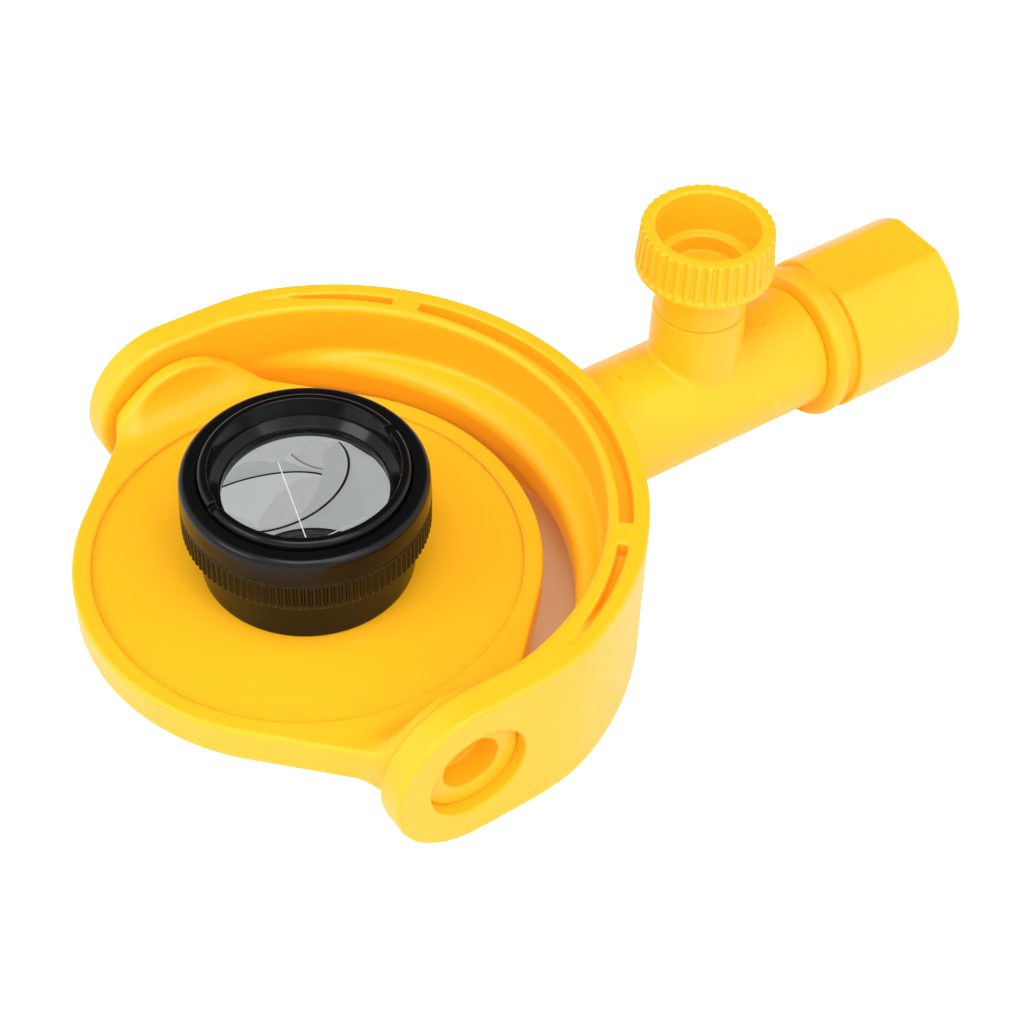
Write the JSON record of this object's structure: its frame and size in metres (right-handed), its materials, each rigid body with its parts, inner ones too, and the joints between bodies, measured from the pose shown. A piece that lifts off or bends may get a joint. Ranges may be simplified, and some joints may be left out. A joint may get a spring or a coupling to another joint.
{
  "type": "survey prism",
  "caption": "Tilting mini retroreflector prism in a U-shaped fork, with a side thumbscrew clamp and a swivelling pole adapter with a threaded end.",
  "frame": {"origin": "where the optical axis of the prism crosses the tilt axis through the two ears of the fork", "axes": "+Z out of the prism glass along the optical axis, +Y along the stem towards the pole adapter, +X along the tilt axis"},
  "size_m": [0.0956, 0.159, 0.0495],
  "materials": {
    "yellow_plastic": "semi-gloss injection moulded",
    "black_plastic": "satin black",
    "prism_glass": "polished, back faces silvered",
    "rubber": "matte",
    "washer_plastic": "matte",
    "brass": "machined",
    "steel": "machined"
  },
  "bodies": {
    "yoke": {"yoke": "yellow_plastic", "clamp_insert": "brass"},
    "target": {"target_plate": "yellow_plastic", "pivot_pins": "yellow_plastic", "friction_washers": "washer_plastic", "prism_housing": "black_plastic", "front_bezel": "black_plastic", "retaining_ring": "black_plastic", "prism_glass": "prism_glass", "glass_gasket": "rubber", "rear_cushion": "rubber", "lock_nut": "black_plastic", "rear_cap": "black_plastic"},
    "shoe": {"clamp_shoe": "brass"},
    "knob": {"clamp_knob": "yellow_plastic", "clamp_screw": "steel"},
    "adapter": {"adapter_body": "yellow_plastic", "adapter_stub": "steel", "thread_insert": "brass"}
  },
  "joints": [
    {"name": "plate_tilt", "type": "hinge", "parent": "yoke", "child": "target", "pos_m": [0, 0, 0], "axis": [1, 0, 0], "continuous": true},
    {"name": "shoe_travel", "type": "slide", "parent": "yoke", "child": "shoe", "axis": [0, 0, 1], "range_m": [0, 0.003]},
    {"name": "knob_turn", "type": "hinge", "parent": "shoe", "child": "knob", "pos_m": [0, 0.0741, 0], "axis": [0, 0, 1], "range_deg": [0, 1083]},
    {"name": "adapter_swivel", "type": "hinge", "parent": "yoke", "child": "adapter", "pos_m": [0, 0.0954, 0], "axis": [0, 1, 0], "continuous": true}
  ],
  "couplings": [
    {"joint": "knob_turn", "follows": "shoe_travel", "rad_per_m": 6283.2}
  ]
}
